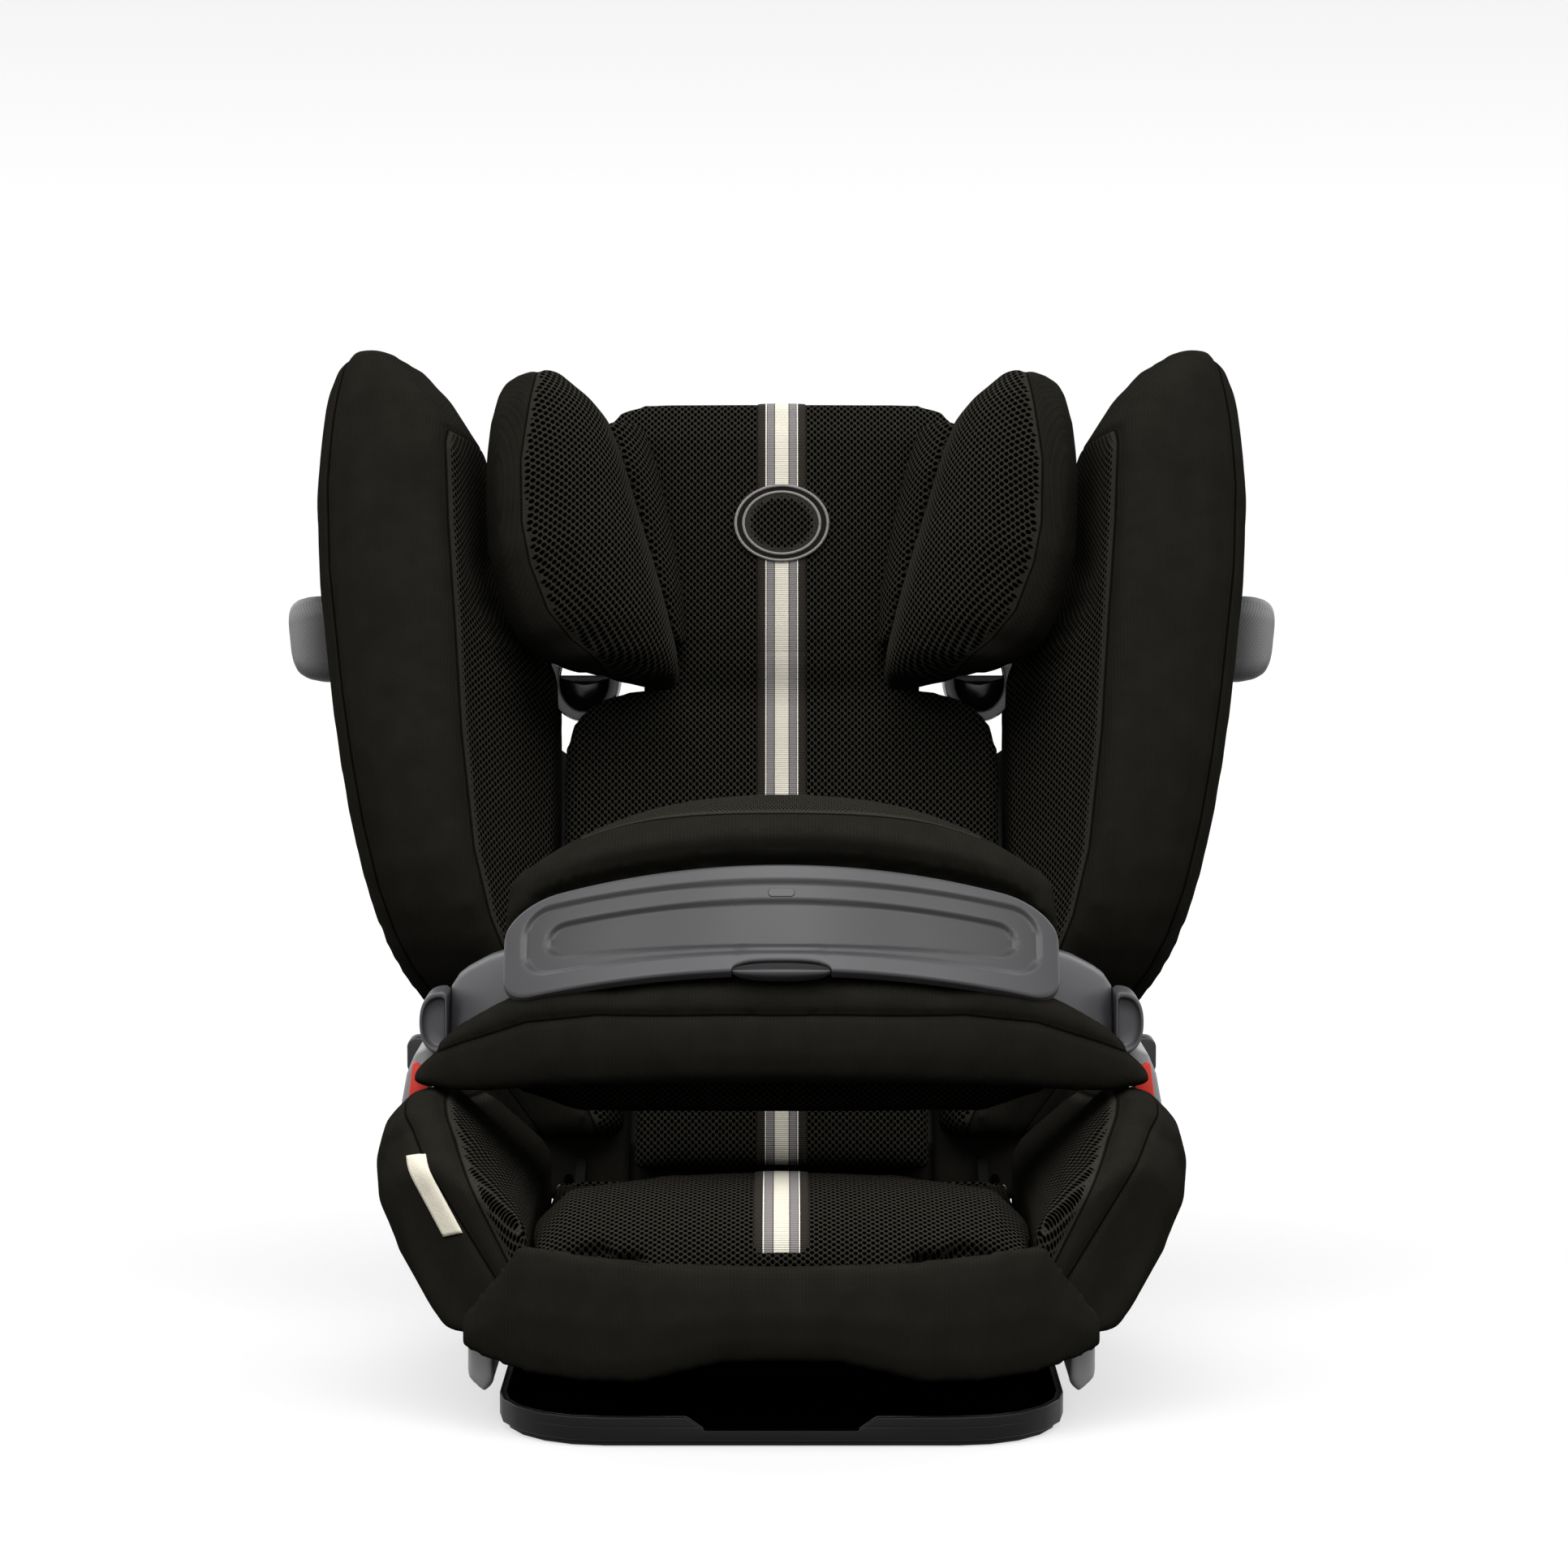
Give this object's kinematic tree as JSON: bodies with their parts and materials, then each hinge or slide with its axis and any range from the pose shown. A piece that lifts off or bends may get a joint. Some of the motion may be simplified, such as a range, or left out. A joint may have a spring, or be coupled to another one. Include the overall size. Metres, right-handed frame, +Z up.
{
  "type": "child car seat",
  "caption": "High-backed child car seat with an impact shield, a padded winged backrest, a headrest that rises and tilts, and a base that reclines",
  "frame": {"origin": "on the floor under the base, on the seat's middle plane", "axes": "+Z up, the seat's front faces -Y, +X to the right of someone who faces it"},
  "size_m": [0.6002, 0.4453, 0.5922],
  "materials": {
    "black_fabric": "smooth woven cover over foam",
    "black_mesh": "spacer mesh over foam",
    "black_plastic": "fine grained",
    "dark_grey_plastic": "satin",
    "grey_plastic": "satin",
    "light_grey_plastic": "satin",
    "red_plastic": "satin",
    "sole_rubber": "matt",
    "steel": "plain"
  },
  "bodies": {
    "base": {"base_sole": "sole_rubber", "base_tray": "dark_grey_plastic", "recline_rail_left": "black_plastic", "recline_rail_right": "black_plastic", "connector_guide_left": "black_plastic", "connector_guide_right": "black_plastic"},
    "connector_left": {"connector_arm_left": "steel"},
    "connector_right": {"connector_arm_right": "steel"},
    "connector_release_left": {"connector_button_left": "red_plastic"},
    "connector_release_right": {"connector_button_right": "red_plastic"},
    "seat": {"booster_shell": "black_plastic", "booster_trim_left": "grey_plastic", "booster_trim_right": "grey_plastic", "recline_runner_left": "black_plastic", "recline_runner_right": "black_plastic", "seat_cushion": "black_mesh", "front_cover": "black_fabric", "side_bolster_left": "black_fabric", "side_bolster_right": "black_fabric", "belt_guide_left": "light_grey_plastic", "belt_guide_right": "light_grey_plastic", "belt_guide_insert_left": "red_plastic", "belt_guide_insert_right": "red_plastic", "belt_stop_left": "black_plastic", "belt_stop_right": "black_plastic", "backrest_axle": "steel"},
    "recline_handle": {"recline_handle": "grey_plastic"},
    "backrest": {"back_plate": "black_plastic", "pivot_barrel": "black_plastic", "height_rack": "dark_grey_plastic", "lumbar_pad": "black_fabric", "wing_pad_left": "black_fabric", "wing_pad_right": "black_fabric", "wing_shell_left": "black_plastic", "wing_shell_right": "black_plastic", "side_protector_left": "light_grey_plastic", "side_protector_right": "light_grey_plastic"},
    "carriage": {"headrest_carriage": "dark_grey_plastic", "panel_bracket": "dark_grey_plastic", "back_panel": "black_fabric", "tilt_axle": "steel"},
    "height_lever": {"height_lever": "red_plastic"},
    "headrest": {"headrest_shell": "black_plastic", "tilt_barrel": "black_plastic", "headrest_centre_pad": "black_fabric", "headrest_side_pad_left": "black_mesh", "headrest_side_pad_right": "black_mesh", "headrest_inner_pad_left": "black_mesh", "headrest_inner_pad_right": "black_mesh", "shoulder_belt_guide_left": "black_plastic", "shoulder_belt_guide_right": "black_plastic"},
    "shield": {"shield_band": "grey_plastic", "shield_panel": "grey_plastic", "shield_cap_left": "grey_plastic", "shield_cap_right": "grey_plastic", "shield_lower_pad": "black_fabric", "shield_rod_left": "steel", "shield_rod_right": "steel"},
    "shield_pad": {"shield_pad": "black_fabric"},
    "shield_lever": {"shield_lever": "dark_grey_plastic"}
  },
  "joints": [
    {"name": "recline", "type": "hinge", "parent": "base", "child": "seat", "pos_m": [0, 0.12, 0.725], "axis": [-1, 0, 0], "range_deg": [0, 7]},
    {"name": "connector_slide_left", "type": "slide", "parent": "base", "child": "connector_left", "axis": [0, 1, 0], "range_m": [0, 0.1]},
    {"name": "connector_slide_right", "type": "slide", "parent": "base", "child": "connector_right", "axis": [0, 1, 0], "range_m": [0, 0.1]},
    {"name": "connector_release_left", "type": "slide", "parent": "connector_left", "child": "connector_release_left", "axis": [0, 0, -1], "range_m": [0, 0.003], "stiffness_N_per_m": 500},
    {"name": "connector_release_right", "type": "slide", "parent": "connector_right", "child": "connector_release_right", "axis": [0, 0, -1], "range_m": [0, 0.003], "stiffness_N_per_m": 500},
    {"name": "recline_handle_pull", "type": "slide", "parent": "seat", "child": "recline_handle", "axis": [0, -1, 0], "range_m": [0, 0.008], "stiffness_N_per_m": 700},
    {"name": "backrest_angle", "type": "hinge", "parent": "seat", "child": "backrest", "pos_m": [0, 0.105, 0.095], "axis": [-1, 0, 0], "range_deg": [0, 10]},
    {"name": "headrest_height", "type": "slide", "parent": "backrest", "child": "carriage", "axis": [0, 0.2756, 0.9613], "range_m": [0, 0.187]},
    {"name": "height_lever_pull", "type": "slide", "parent": "carriage", "child": "height_lever", "axis": [0, 0.2756, 0.9613], "range_m": [0, 0.006], "stiffness_N_per_m": 800},
    {"name": "headrest_tilt", "type": "hinge", "parent": "carriage", "child": "headrest", "pos_m": [0, 0.1513, 0.39797], "axis": [1, 0, 0], "range_deg": [0, 10]},
    {"name": "shield_removal", "type": "slide", "parent": "seat", "child": "shield", "axis": [0, -0.9063, 0.4226], "range_m": [0, 0.25]},
    {"name": "shield_depth", "type": "slide", "parent": "shield", "child": "shield_pad", "axis": [0, 1, 0], "range_m": [0, 0.035]},
    {"name": "shield_lever_pull", "type": "slide", "parent": "shield", "child": "shield_lever", "axis": [0, -0.796, 0.6053], "range_m": [0, 0.004], "stiffness_N_per_m": 500}
  ]
}
